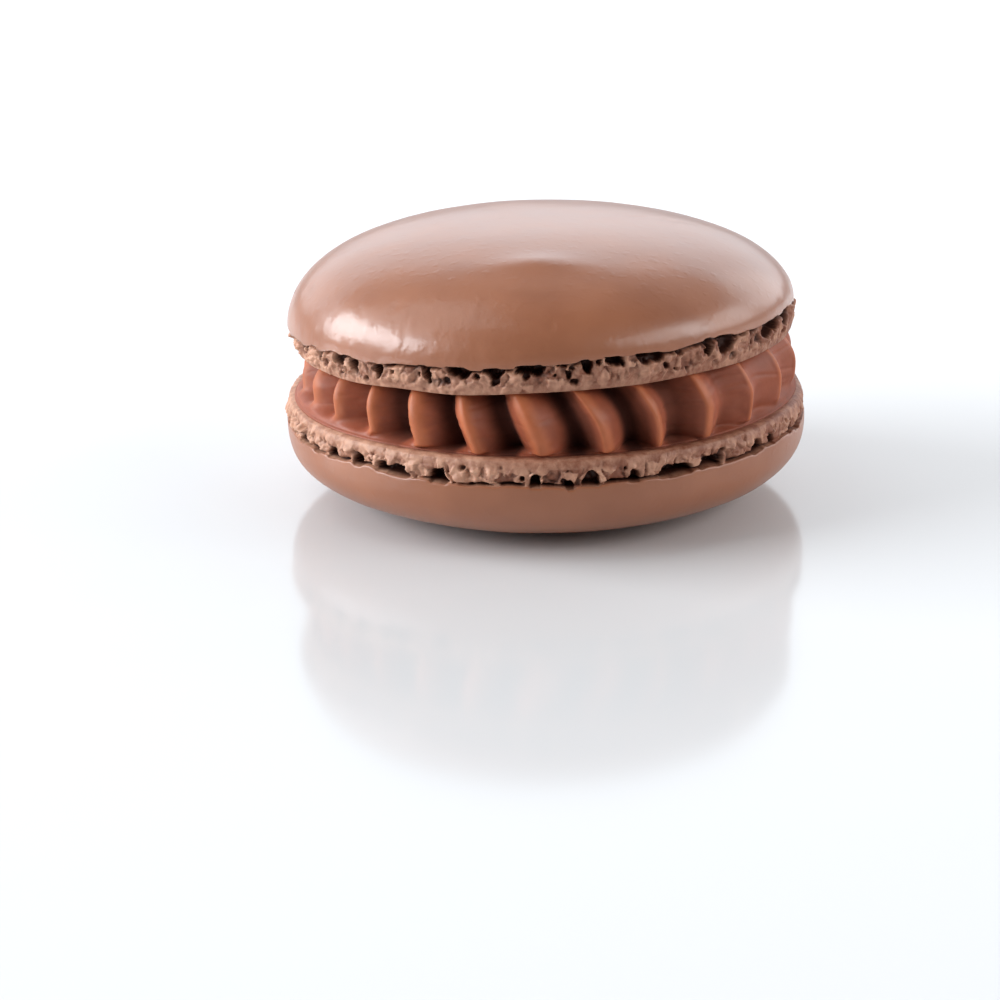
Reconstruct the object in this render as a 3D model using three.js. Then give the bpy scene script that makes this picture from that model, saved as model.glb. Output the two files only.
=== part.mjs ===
// Chocolate macaron: two domed meringue shells with craggy feet around a piped, fluted ganache filling.
// Both shells are baked foot down; the bottom one is turned over, and the top one sits a little askew.
// Millimetres, +Z up, -Y to the front. The origin is the middle of the flat spot that the macaron rests on.

import * as THREE from "three";
import { ImprovedNoise } from "three/addons/math/ImprovedNoise.js";

const { degToRad, euclideanModulo, lerp, smoothstep } = THREE.MathUtils;

// A slant as height gained per millimetre along X and Y, from degrees of rise to the right and to the front.
function slant(right, front) {
  return new THREE.Vector2(Math.tan(degToRad(right)), -Math.tan(degToRad(front)));
}

// Driving dimensions of a shell, as it stands on its flat base. The foot of the top one rose unevenly,
// so that its crust slid to the left and its rim and crown are slanted against the base.
const BOTTOM_SHELL = {
  name: "bottom_shell",
  crustRadius: 24.7,
  crustHeight: 7.4,
  crustSquareness: 3.3,
  crownSquareness: 3.0,
  flatSpotRadius: 9,
  footHeight: 2.3,
  footRadius: 24.45,
  lipRadius: 24.5,
  lipRound: 0.5,
  crustShift: 0,
  rimRise: slant(0, 0),
  crownRise: slant(0, 0),
  seed: 3.1,
};
const TOP_SHELL = {
  name: "top_shell",
  crustRadius: 24.0,
  crustHeight: 8.7,
  crustSquareness: 2.65,
  crownSquareness: 2.1,
  flatSpotRadius: 0,
  footHeight: 2.45,
  footRadius: 23.8,
  lipRadius: 23.4,
  lipRound: 0.25,
  crustShift: -0.3,
  rimRise: slant(0.5, 0.7),
  crownRise: slant(-2.1, -0.65),
  seed: 11.7,
};
const CRUST_ROWS = 8;
const FOOT_ROWS = 4;
const SHELL_SEGMENTS = 150;
const SEAM_HEIGHT = 0.35;
const SEAM_DEPTH = 0.45;
const RIM_ROUND = 0.2;

// How uneven the baked shell is: each feature's size along the surface, and how far it moves the surface.
const CRAG_SIZE = 1.4;
const CRAG_DEPTH = 0.5;
const CRAG_BIAS = 0.2;
const RIM_WAVE_SIZE = 6;
const RIM_WAVE_HEIGHT = 0.3;
const DOME_WAVE_SIZE = 16;
const DOME_WAVE_HEIGHT = 0.3;

// The holes under the crust: how many places for one there are round a foot, the share of places left closed,
// a hole's half width as a share of a place, its height as a share of the foot's, and its depth.
const HOLES = 52;
const CLOSED_SHARE = 0.1;
const HOLE_HALF_WIDTH = { least: 0.16, most: 0.5 };
const HOLE_HEIGHT = { least: 0.3, most: 0.72 };
const HOLE_DEPTH = 1.3;

// The piped filling: a ring of upright ridges that bow outwards and lean as they rise; on the left they are
// crowded and spread again at the bottom. Between two ridges the side is scooped into a cleft, then rises to
// the next ridge. The clefts are shallower at half height. On the right they are shallower still, lie further
// from the next ridge and have two hollow sides; elsewhere the short side is rounded out. Below the ridges a
// thin skirt spreads over the bottom shell, wider at the sides, with a sloping ledge on it there.
const FILLING_HEIGHT = 5.1;
const FILLING_RADIUS = 23.4;
const FILLING_STRETCH = 0.3;
const FILLING_OFFSET = new THREE.Vector2(0.3, -0.5);
const SKIRT_RADIUS = { front: 23.1, side: 24.0 };
const SKIRT_SHARE = 0.06;
const SKIRT_ROUND = 0.2;
const LEDGE_SHARE = { front: 0.02, side: 0.24 };
const LEDGE_SLOPE = 1.2;
const FLUTES = 26;
const STEPS_PER_FLUTE = 8;
const FILLING_ROWS = 6;
const FLUTE_DEPTH = 3.2;
const FLUTE_FLAT_SHARE = 0.6;
const FLUTE_PILLOW = 0.2;
const FLUTE_CLEFT = { right: 0.45, other: 0.64 };
const FLUTE_STEP_SKEW = 0.1;
const FLUTE_HOLLOWNESS = { mean: 1.05, change: 0.3 };
const FLUTE_SHORT_HOLLOWNESS = { right: 1.25, other: 0.65 };
const FLUTE_BOW_ABOVE = 1.5;
const FLUTE_BOW_BELOW = 0.5;
const FLUTE_FLARE = 0.5;
const FLUTE_START = degToRad(13.76);
const FLUTE_CROWDING = degToRad(4.62);
const FLUTE_LEAN = degToRad(4.5);
const FLUTE_LEAN_CHANGE = degToRad(2.2);
const FLUTE_WAVE_SIZE = 9;
const FLUTE_WAVE_HEIGHT = 0.25;
const FLUTE_SEED = 5.3;

// How the pieces are put together.
const TOP_RISE_TO_RIGHT = 2.1;
const TOP_RISE_TO_FRONT = 1.9;
const GAP = 0.25;
const BOTTOM_BASE_Z = BOTTOM_SHELL.crustHeight + BOTTOM_SHELL.footHeight;
const TOP_BASE_Z = BOTTOM_BASE_Z + FILLING_HEIGHT;

const CRUST = new THREE.MeshStandardMaterial({ color: 0xa06e58, roughness: 0.45, metalness: 0 });
const GANACHE = new THREE.MeshStandardMaterial({ color: 0x6b3a28, roughness: 0.4, metalness: 0 });

const noise = new ImprovedNoise();

// Smooth noise from about -1 to 1, with lumps of the given size.
function lumps(point, size, seed) {
  return noise.noise(point.x / size + seed, point.y / size - seed, point.z / size + 2 * seed);
}

// A fixed random number from 0 to 1 for a number and a seed.
function chance(number, seed) {
  const value = Math.sin(12.9898 * number + 78.233 * seed) * 43758.5453;
  return value - Math.floor(value);
}

// The angle of a point about +Z, from the front and to the right.
function turnOf(point) {
  return Math.atan2(point.x, -point.y);
}

// Moves a point away from the Z axis, or towards it where distance is negative.
function moveOut(point, distance) {
  const radius = Math.hypot(point.x, point.y);
  if (radius === 0) return;
  const scale = (radius + distance) / radius;
  point.x *= scale;
  point.y *= scale;
}

// Turns rows of radius r and height z about +Z, from axis to axis, and lets relief move every vertex.
function revolve(rows, segments, relief) {
  const outline = rows.map(({ r, z }) => new THREE.Vector2(r, z));
  const geometry = new THREE.LatheGeometry(outline, segments).rotateX(Math.PI / 2);
  const position = geometry.getAttribute("position");
  const point = new THREE.Vector3();
  for (let i = 0; i < position.count; i++) {
    point.fromBufferAttribute(position, i);
    relief(point, rows[i % rows.length]);
    position.setXYZ(i, point.x, point.y, point.z);
  }
  geometry.computeVertexNormals();
  return geometry;
}

// The outline of a shell: flat base, rounded lip, craggy foot, seam under the crust's torn rim, and the dome.
// Each row says how far up the foot it is, how much of the crags and of the rim's waves reach it, and how it
// slants and is shifted.
function shellOutline(shell) {
  const level = new THREE.Vector2();
  const rows = [
    { r: 0, z: 0 },
    { r: shell.lipRadius - shell.lipRound, z: 0 },
  ];
  const seamZ = shell.footHeight - SEAM_HEIGHT;
  for (let k = 0; k <= FOOT_ROWS; k++) {
    const up = k / FOOT_ROWS;
    rows.push({
      r: lerp(shell.lipRadius, shell.footRadius, up),
      z: lerp(shell.lipRound, seamZ, up),
      up,
      crag: k === 0 ? 0.2 : 1,
      wave: up,
      slope: level.clone().lerp(shell.rimRise, up),
    });
  }
  const seam = { up: 1, crag: 0.5, wave: 1, slope: shell.rimRise };
  rows.push({ r: shell.footRadius - SEAM_DEPTH, z: seamZ + SEAM_HEIGHT / 2, ...seam });
  const rim = { crag: 0.15, wave: 1, slope: shell.rimRise, shift: shell.crustShift };
  rows.push({ r: shell.crustRadius - RIM_ROUND, z: shell.footHeight, ...rim });
  for (let k = 0; k <= CRUST_ROWS; k++) {
    const turn = ((k + 0.5) / (CRUST_ROWS + 0.5)) * (Math.PI / 2);
    const r = k === CRUST_ROWS ? 0 : shell.crustRadius * Math.cos(turn) ** (2 / shell.crustSquareness);
    if (r > 0 && r <= shell.flatSpotRadius) continue;
    const rise = Math.sin(turn) ** (2 / shell.crownSquareness);
    if (r === 0 && shell.flatSpotRadius > 0) {
      rows.push({ r: shell.flatSpotRadius, z: shell.footHeight + shell.crustHeight });
    }
    rows.push({
      r,
      z: shell.footHeight + shell.crustHeight * rise,
      wave: k === 0 ? 0.5 : 0,
      dome: 1 - rise,
      slope: shell.rimRise.clone().lerp(shell.crownRise, rise),
      shift: shell.crustShift,
    });
  }
  return rows;
}

// How far inside a hole under the crust a place is, from 0 to 1, less for a shallow hole.
// up goes from 0 at the lip to 1 at the crust.
function holeAt(turn, up, seed) {
  const place = (turn * HOLES) / (2 * Math.PI);
  let inside = 0;
  for (let k = Math.floor(place) - 1; k <= Math.floor(place) + 1; k++) {
    const hole = euclideanModulo(k, HOLES);
    if (chance(hole, seed) < CLOSED_SHARE) continue;
    const middle = k + 0.5 + 0.6 * (chance(hole, seed + 1) - 0.5);
    const halfWidth = lerp(HOLE_HALF_WIDTH.least, HOLE_HALF_WIDTH.most, chance(hole, seed + 2));
    const height = lerp(HOLE_HEIGHT.least, HOLE_HEIGHT.most, chance(hole, seed + 3));
    const reach = Math.hypot((place - middle) / halfWidth, (1 - up) / height);
    const depth = lerp(0.5, 1, chance(hole, seed + 4));
    inside = Math.max(inside, depth * (1 - smoothstep(reach, 0.7, 1.05)));
  }
  return inside;
}

// One shell, standing on its base with the dome up.
function shellMesh(shell) {
  const rows = shellOutline(shell);
  const geometry = revolve(rows, SHELL_SEGMENTS, (point, row) => {
    const wave = lumps(point.clone().setZ(0), RIM_WAVE_SIZE, shell.seed);
    const crag = Math.min(lumps(point, CRAG_SIZE, shell.seed + 1) - CRAG_BIAS, CRAG_BIAS);
    const hole = row.up === undefined ? 0 : holeAt(turnOf(point), row.up, shell.seed);
    const dome = lumps(point, DOME_WAVE_SIZE, shell.seed + 3);
    moveOut(point, CRAG_DEPTH * crag * (row.crag ?? 0) - HOLE_DEPTH * hole);
    moveOut(point, DOME_WAVE_HEIGHT * dome * (row.dome ?? 0));
    point.z += RIM_WAVE_HEIGHT * wave * (row.wave ?? 0);
    if (row.slope) point.z += row.slope.x * point.x + row.slope.y * point.y;
    point.x += row.shift ?? 0;
  });
  const mesh = new THREE.Mesh(geometry, CRUST);
  mesh.name = shell.name;
  return mesh;
}

// Height of the top shell's tilted base above the plane z = 0.
function topBaseHeight(x, y) {
  const slope = slant(TOP_RISE_TO_RIGHT, TOP_RISE_TO_FRONT);
  return TOP_BASE_Z + slope.x * x + slope.y * y;
}

// How much an angle from the front belongs to the right side, from 0 to 1.
function rightness(turn) {
  return smoothstep(Math.sin(turn), 0.1, 0.75);
}

// How deep the filling's side is between two ridges, from 0 at a ridge to 1 in the cleft.
// across goes from 0 at one ridge to 1 at the next, and cleft is where the cleft lies on that way.
// The two hollownesses are those of the long side before the cleft and of the short side after it.
function valleyAt(across, cleft, longHollowness, shortHollowness) {
  if (across < cleft) return 1 - (1 - across / cleft) ** longHollowness;
  return 1 - ((across - cleft) / (1 - cleft)) ** shortHollowness;
}

// How deep a cleft is at an angle from the front and at a share of the filling's height.
function cleftDepth(turn, share) {
  const flat = FLUTE_FLAT_SHARE * rightness(turn);
  const pillow = FLUTE_PILLOW * (1 - (2 * share - 1) ** 2);
  return FLUTE_DEPTH * (1 - flat) * (1 - pillow);
}

// The ganache: a thin skirt with its ledge, then the ridges, tilted above to meet the top shell.
function fillingMesh() {
  const bottomZ = BOTTOM_BASE_Z + GAP;
  const rows = [
    { r: 0, z: 0 },
    { r: FILLING_RADIUS, z: 0, skirt: true, round: 0 },
    { r: FILLING_RADIUS, z: SKIRT_SHARE, skirt: true, round: SKIRT_ROUND },
  ];
  for (let k = 0; k <= FILLING_ROWS; k++) {
    const share = lerp(1.6 * SKIRT_SHARE, 1, k / FILLING_ROWS);
    const bow = share > 0.5 ? FLUTE_BOW_ABOVE : FLUTE_BOW_BELOW;
    rows.push({ r: FILLING_RADIUS - bow * (2 * share - 1) ** 2, z: share, fluted: true });
  }
  rows.push({ r: 0, z: 1 });
  const geometry = revolve(rows, FLUTES * STEPS_PER_FLUTE, (point, row) => {
    let turn = turnOf(point);
    let radius = Math.hypot(point.x, point.y);
    let ridge = 0;
    const flute = Math.floor((turn * FLUTES) / (2 * Math.PI));
    const place = (turn * FLUTES) / (2 * Math.PI) - flute;
    const across = place - FLUTE_STEP_SKEW * Math.sin(2 * Math.PI * place);
    turn += ((across - place) * 2 * Math.PI) / FLUTES;
    const side = Math.abs(Math.sin(turn)) ** 3;
    const skirtRadius = lerp(SKIRT_RADIUS.front, SKIRT_RADIUS.side, side);
    if (row.skirt) radius = skirtRadius - row.round;
    if (row.fluted) {
      const change = FLUTE_HOLLOWNESS.change * Math.sin(2.4 * euclideanModulo(flute, FLUTES));
      const cleft = lerp(FLUTE_CLEFT.other, FLUTE_CLEFT.right, rightness(turn));
      const leftness = smoothstep(-Math.sin(turn), -0.2, 0.05);
      const shortSide = lerp(FLUTE_SHORT_HOLLOWNESS.right, FLUTE_SHORT_HOLLOWNESS.other, leftness);
      const valley = valleyAt(across, cleft, FLUTE_HOLLOWNESS.mean + change, shortSide);
      radius += FILLING_STRETCH * Math.cos(turn) ** 2;
      radius += FLUTE_WAVE_HEIGHT * lumps(point, FLUTE_WAVE_SIZE, FLUTE_SEED);
      radius += FLUTE_FLARE * Math.max(0, 1 - 2 * row.z) ** 2 * smoothstep(-Math.sin(turn), 0.2, 0.7);
      radius -= cleftDepth(turn, row.z) * valley;
      const ledge = lerp(LEDGE_SHARE.front, LEDGE_SHARE.side, side);
      ridge = smoothstep(row.z, 0.4 * ledge, 1.4 * ledge);
      const ledgeRadius = skirtRadius - SKIRT_ROUND - LEDGE_SLOPE * row.z;
      radius = lerp(Math.max(radius, ledgeRadius), radius, ridge);
    }
    const lean = FLUTE_LEAN + FLUTE_LEAN_CHANGE * Math.cos(3 * turn);
    turn += FLUTE_START - FLUTE_CROWDING * Math.cos(turn) + lean * (0.5 - row.z);
    point.x = FILLING_OFFSET.x * ridge + radius * Math.sin(turn);
    point.y = FILLING_OFFSET.y * ridge - radius * Math.cos(turn);
    point.z = lerp(bottomZ, topBaseHeight(point.x, point.y) - GAP, row.z);
  });
  const mesh = new THREE.Mesh(geometry, GANACHE);
  mesh.name = "filling";
  return mesh;
}

const bottomShell = new THREE.Group();
bottomShell.add(shellMesh(BOTTOM_SHELL));
bottomShell.position.z = BOTTOM_BASE_Z;
bottomShell.rotation.x = Math.PI;

const topShell = new THREE.Group();
topShell.add(shellMesh(TOP_SHELL));
topShell.position.z = TOP_BASE_Z;
topShell.rotation.set(-degToRad(TOP_RISE_TO_FRONT), -degToRad(TOP_RISE_TO_RIGHT), 0);

const macaron = new THREE.Group();
macaron.add(bottomShell, fillingMesh(), topShell);

export default macaron;
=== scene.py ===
"""Chocolate macaron: two baked meringue shells with craggy feet around a piped ganache filling."""

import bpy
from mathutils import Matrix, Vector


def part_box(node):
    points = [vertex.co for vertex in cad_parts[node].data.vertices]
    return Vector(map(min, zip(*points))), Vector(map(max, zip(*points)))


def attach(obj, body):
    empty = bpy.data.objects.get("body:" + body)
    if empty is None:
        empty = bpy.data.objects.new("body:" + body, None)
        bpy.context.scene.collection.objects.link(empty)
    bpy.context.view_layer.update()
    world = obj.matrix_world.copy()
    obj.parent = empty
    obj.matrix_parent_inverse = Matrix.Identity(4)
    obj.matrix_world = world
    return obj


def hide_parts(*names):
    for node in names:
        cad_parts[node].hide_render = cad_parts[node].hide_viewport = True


bl_info = {
    "name": "Chocolate Macaron",
    "version": (1, 0, 0),
    "blender": (4, 5, 0),
    "location": "View3D > Sidebar > Macaron",
    "description": "Builds a chocolate macaron from two meringue shells and a piped ganache filling",
    "category": "Add Mesh",
}

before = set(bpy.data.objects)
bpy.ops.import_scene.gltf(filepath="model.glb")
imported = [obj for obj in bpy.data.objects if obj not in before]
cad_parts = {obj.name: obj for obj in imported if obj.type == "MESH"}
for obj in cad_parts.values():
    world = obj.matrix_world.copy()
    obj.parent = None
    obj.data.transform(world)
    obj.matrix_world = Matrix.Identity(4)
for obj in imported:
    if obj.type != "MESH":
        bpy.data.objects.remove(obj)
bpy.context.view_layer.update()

import math

import bmesh
import bpy
from mathutils import Euler, Matrix, Vector, noise

BOTTOM_SHELL_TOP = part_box("bottom_shell")[1].z

MM = 0.001
IMAGE_PIXELS = 1000
SENSOR_WIDTH = 36
NEAR_CLIP = 0.01

# How finely each piece is cut.
SHELL_WEDGES = 10
SHELL_STEPS_PER_WEDGE = 57
BASE_SHARES = (0, 0.5, 0.85, 0.95)
LIP_ROWS = 3
FOOT_CUTS = 2
FOOT_ROWS = 9
DOME_ROWS = 36
FLUTE_STEPS = 36
SKIRT_ROWS = 4
FILLING_ROWS = 44
MERGE_DISTANCE = 0.001 * MM

# Small fixed sizes: how far the foot swells at half height, the slit that it leaves under the crust,
# how far up the dome the rim's unevenness goes, and how far the filling sinks into the shells.
FOOT_BULGE = 0.1 * MM
SEAM_SLIT = 0.04 * MM
RIM_REACH = 2 * MM
SINK = 0.05 * MM

# Depths from which, and at which, the crumb is painted with the dark colour of a hole, as painted shade.
HOLLOW_SHADE_DEPTHS = (0.06 * MM, 0.55 * MM)

# How broad the swells are in each kind of unevenness.
DOME_SWELL = 13 * MM
DOME_DENT = 5 * MM
RAGGED_SWELL = 11 * MM
LIP_SWELL = 7 * MM
RIM_SWELL = 6 * MM
RIM_TOOTH = 1.6 * MM
CREASED_PART = 3.3 * MM
SEAM_PART = 2.2 * MM
HOLE_RAG = 0.9 * MM
WOBBLE_SWELL = 0.7 * MM
WOBBLE_REACH = 0.25 * MM
FILLING_SWELL = 9 * MM
FILLING_SWELL_HEIGHT = 0.25 * MM

# Turns a point into the one number that chance takes.
DICE = (1.0, 3.7, 9.1)

# Where things change round the filling, from the middle of the front, 0, to the far right, 1.
RIGHT_SIDE = (0.1, 0.75)
LOWER_LEAN_ENDS = (0.05, 0.5)
SWAY_STARTS = (-0.45, -0.05)
SWAY_ENDS = (0.1, 0.4)

# The same from the middle of the front to the far left.
LEFT_SIDE = (0.3, 0.55)
FAR_LEFT_SIDE = (0.72, 0.92)
ROUNDED_SIDE = (0, 0.22)
LIT_SIDE = (0.06, 0.2)
FLARED_SIDE = (0.2, 0.7)

# The soft lights: place, size, radiance and tint. All of them face the heart of the macaron.
HEART = (0, 0, 0.013)
SOFTBOXES = {
    "back_light": ((0.07, 0.65, 0.285), (1.85, 0.47), 1.28, "#f3f9ff"),
    "overhead_light": ((0, 0.35, 0.62), (1.2, 0.6), 0.15, "#ffffff"),
    "left_light": ((-1.668, -0.06, 0.681), (1.84, 0.8), 9.2, "#f4faff"),
    "top_left_light": ((-0.3, 0, 0.5), (0.4, 0.4), 1.15, "#ffffff"),
    "right_light": ((1.56, -0.828, 0.953), (1.44, 0.96), 2.3, "#ffffff"),
    "right_fill": ((2.08, 0, 0.761), (1.6, 1.2), 2.3, "#ffffff"),
    "right_back_light": ((2.0, 1.44, 1.0), (2.4, 1.6), 0.7, "#ffffff"),
}
AIR_COLOUR = "#ffffff"
AIR_STRENGTH = 0.12
FLOOR_RADIUS = 4
FLOOR_SIDES = 96


def linear(hex_colour):
    """Turns an sRGB hex colour into the linear values that shaders use."""
    channels = [int(hex_colour[i:i + 2], 16) / 255 for i in (1, 3, 5)]
    return [c / 12.92 if c <= 0.04045 else ((c + 0.055) / 1.055) ** 2.4 for c in channels]


def length(name, description, value):
    """A size in metres."""
    return bpy.props.FloatProperty(
        name=name, description=description, default=value, unit="LENGTH", precision=5)


def angle(name, description, degrees):
    """An angle, given here in degrees."""
    return bpy.props.FloatProperty(
        name=name, description=description, default=math.radians(degrees), subtype="ANGLE")


def angles(name, description, degrees):
    """A pair of angles, given here in degrees."""
    return bpy.props.FloatVectorProperty(
        name=name, description=description, default=[math.radians(d) for d in degrees], size=2,
        subtype="EULER")


def lengths(name, description, values):
    """A pair of sizes in metres."""
    return bpy.props.FloatVectorProperty(
        name=name, description=description, default=values, size=2, unit="LENGTH", precision=5)


def number(name, description, value):
    """A plain number."""
    return bpy.props.FloatProperty(name=name, description=description, default=value)


def count(name, description, value):
    """A number of things."""
    return bpy.props.IntProperty(name=name, description=description, default=value, min=3)


def extent(name, description, first, second):
    """A pair of shares: the least and the most, or one for each of two places."""
    return bpy.props.FloatVectorProperty(name=name, description=description, default=(first, second), size=2)


def colour(name, description, hex_colour):
    """A colour, given here as sRGB hex."""
    return bpy.props.FloatVectorProperty(
        name=name, description=description, default=linear(hex_colour), size=3, min=0, max=1, subtype="COLOR")


class TopShellSizes(bpy.types.PropertyGroup):
    """Sizes of the top shell, as it stands on its flat base."""
    crust_radius: length("Crust radius", "Widest radius of the dome", 24.0 * MM)
    crust_height: length("Crust height", "Height of the dome above its torn rim", 8.7 * MM)
    crust_squareness: number("Crust squareness", "How square the dome's side is; 2 is an ellipse", 2.65)
    crown_squareness: number("Crown squareness", "How flat the dome's crown is; 2 is an ellipse", 2.1)
    flat_spot_radius: length("Flat spot", "Radius of the flat spot on the crown", 0)
    foot_height: length("Foot height", "Height of the foot below the crust's rim", 2.45 * MM)
    foot_radius: length("Foot radius", "Radius of the foot just under the crust", 23.8 * MM)
    lip_radius: length("Lip radius", "Radius of the foot's lip at the base", 23.4 * MM)
    lip_round: length("Lip round", "Rounding of that lip", 0.25 * MM)
    crust_shift: length("Crust shift", "How far the crust slid to the right on its foot", -0.3 * MM)
    rim_rise: angles("Rim rise", "Slant of the rim against the base, right side up and front up", (0.5, 0.7))
    crown_rise: angles("Crown rise", "Slant of the crown against the base, right side up and front up",
                       (-2.1, -0.65))
    coat: number("Coat", "How much of a sugar coat the crust has", 0.7)
    seed: number("Seed", "Chooses another set of crags", 11.7)
    fold_place: lengths("Fold place", "Where the batter settled in a low fold, from the middle",
                        (0.2 * MM, -14.6 * MM))
    fold_size: lengths("Fold size", "Half length and half width of that fold", (3.6 * MM, 1.5 * MM))
    fold_height: length("Fold height", "Height of that fold", 0.34 * MM)
    blister_place: lengths("Blister place", "Middle of the blistered part of the crust",
                           (-13.5 * MM, -17.5 * MM))
    blister_reach: length("Blister reach", "How far from there the blisters go", 12 * MM)
    blister_height: length("Blister height", "Height of the blisters", 0.04 * MM)
    base_rise: angles("Base rise", "Tilt of the base, right side up and front up", (2.1, 1.9))
    gap: length("Gap", "Distance between the two shells' bases", 5.1 * MM)


class BottomShellSizes(bpy.types.PropertyGroup):
    """Sizes of the bottom shell, as it stood on its flat base before it was turned over."""
    crust_radius: length("Crust radius", "Widest radius of the dome", 24.7 * MM)
    crust_height: length("Crust height", "Height of the dome above its torn rim", 7.4 * MM)
    crust_squareness: number("Crust squareness", "How square the dome's side is; 2 is an ellipse", 3.3)
    crown_squareness: number("Crown squareness", "How flat the dome's crown is; 2 is an ellipse", 3.0)
    flat_spot_radius: length("Flat spot", "Radius of the flat spot that the macaron rests on", 9 * MM)
    foot_height: length("Foot height", "Height of the foot below the crust's rim",
                        BOTTOM_SHELL_TOP - 7.4 * MM)
    foot_radius: length("Foot radius", "Radius of the foot just under the crust", 24.45 * MM)
    lip_radius: length("Lip radius", "Radius of the foot's lip at the base", 24.5 * MM)
    lip_round: length("Lip round", "Rounding of that lip", 0.5 * MM)
    crust_shift: length("Crust shift", "How far the crust slid to the right on its foot", 0)
    rim_rise: angles("Rim rise", "Slant of the rim against the base, right side up and front up", (0, 0))
    crown_rise: angles("Crown rise", "Slant of the crown against the base, right side up and front up",
                       (0, 0))
    fold_place: lengths("Fold place", "Where the batter settled in a low fold, from the middle", (14 * MM, 0))
    fold_size: lengths("Fold size", "Half length and half width of that fold", (2 * MM, 4 * MM))
    fold_height: length("Fold height", "Height of that fold", 0)
    blister_place: lengths("Blister place", "Middle of the blistered part of the crust", (14 * MM, 0))
    blister_reach: length("Blister reach", "How far from there the blisters go", 12 * MM)
    blister_height: length("Blister height", "Height of the blisters", 0)
    coat: number("Coat", "How much of a sugar coat the crust has", 0.35)
    seed: number("Seed", "Chooses another set of crags", 3.1)


class CrumbSizes(bpy.types.PropertyGroup):
    """Sizes of what baking leaves in the foot and along the crust's torn rim."""
    holes: count("Holes", "Places for a hole round the foot, under the crust", 52)
    closed_share: number("Closed share", "Share of those places that have no hole", 0.1)
    hole_half_width: extent("Hole half width", "Half width of a hole as a share of its place", 0.16, 0.5)
    hole_height: extent("Hole height", "Height of a hole as a share of the foot's height", 0.3, 0.72)
    hole_depth: length("Hole depth", "Depth of the deepest holes", 2.0 * MM)
    seam_depth: length("Seam depth", "Depth of the seam under the crust between the holes", 0.6 * MM)
    pore_spacing: length("Pore spacing", "Distance between the round pores", 1.15 * MM)
    pore_depth: length("Pore depth", "Depth of the round pores", 0.7 * MM)
    pleat_width: length("Pleat width", "Width of the upright pleats", 1.5 * MM)
    pleat_depth: length("Pleat depth", "Depth of the creases between the pleats", 0.3 * MM)
    lump_size: length("Lump size", "Size of the puffy lumps of crumb", 1.5 * MM)
    lump_height: length("Lump height", "Height of the puffy lumps of crumb", 0.36 * MM)
    blister_size: length("Blister size", "Size of the blisters of the crust", 1.0 * MM)
    flake_size: length("Flake size", "Size of the flakes that the crumb tore into", 1.0 * MM)
    flake_depth: length("Flake depth", "Step between a flake and its neighbours", 0.34 * MM)
    lip_wave: length("Lip wave", "Height of the waves in the foot's lip", 0.18 * MM)
    rim_wave: length("Rim wave", "Height of the waves in the crust's torn rim", 0.32 * MM)
    rim_tear: length("Rim tear", "How far the crust is torn back above a hole", 0.22 * MM)
    dome_wave: length("Dome wave", "Height of the broad unevenness of the dome", 0.14 * MM)
    dimple_spacing: length("Dimple spacing", "Distance between the shallow dimples in the crust", 4.5 * MM)
    dimple_depth: length("Dimple depth", "Depth of those dimples", 0.05 * MM)


class FillingSizes(bpy.types.PropertyGroup):
    """Sizes of the piped filling."""
    radius: length("Radius", "Radius over the ridges at half height", 23.4 * MM)
    stretch: length("Stretch", "How much further it reaches at the front and back than at the sides",
                    0.3 * MM)
    offset: lengths("Offset", "Where its middle lies, to the right and to the back", (0.3 * MM, -0.5 * MM))
    skirt_radius: lengths("Skirt radius", "Radius of the skirt below the ridges, at the front and the sides",
                          (23.1 * MM, 24.0 * MM))
    skirt_height: length("Skirt height", "Thickness of that skirt", 0.2 * MM)
    ledge: extent("Ledge", "Height of the ledge at the front and at the sides, as a share of the filling",
                  0.02, 0.24)
    ledge_slope: length("Ledge slope", "How far the ledge would draw in over the filling's height", 1.2 * MM)
    flutes: count("Ridges", "Number of piped ridges", 26)
    flute_depth: length("Cleft depth", "Depth of the clefts between the ridges", 3.2 * MM)
    flat_share: number("Flat share", "How much shallower the clefts are on the right", 0.6)
    pillow: number("Pillow", "How much shallower the clefts are at half height", 0.2)
    flute_cleft: extent("Cleft", "How far from ridge to ridge the cleft lies, on the right and elsewhere",
                        0.45, 0.64)
    hollowness: number("Hollowness", "How hollow a ridge's long side is; 1 is flat", 1.05)
    short_hollowness: number("Short hollowness", "How hollow a ridge's short side is; 1 is flat", 1.25)
    left_hollowness: number("Left hollowness", "The same on the left, where it is rounded out", 0.65)
    hollowness_change: number("Hollowness change", "How much that varies from ridge to ridge", 0.3)
    crest_width: number("Crest width", "Roundness of the crests, as a share of the cleft's depth", 0.26)
    cleft_width: number("Cleft width", "Roundness of the clefts, as a share of their depth", 0.16)
    bow_above: length("Bow above", "How far the ridges draw in towards the top", 1.5 * MM)
    bow_below: length("Bow below", "How far the ridges draw in towards the bottom", 0.5 * MM)
    flare: length("Flare", "How far the ridges spread again at the bottom on the left", 0.5 * MM)
    start: angle("Start", "Angle of the first ridge before crowding", 13.76)
    crowding: angle("Crowding", "How far the ridges are pushed together on the left", 4.62)
    lean: angle("Lean", "How far a ridge turns about the middle as it rises", 4.5)
    lean_change: angle("Lean change", "How much that lean varies round the filling", 2.2)
    sway: angle("Sway", "How far the ridges at the front curve to the right at half height", 1.6)


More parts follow.
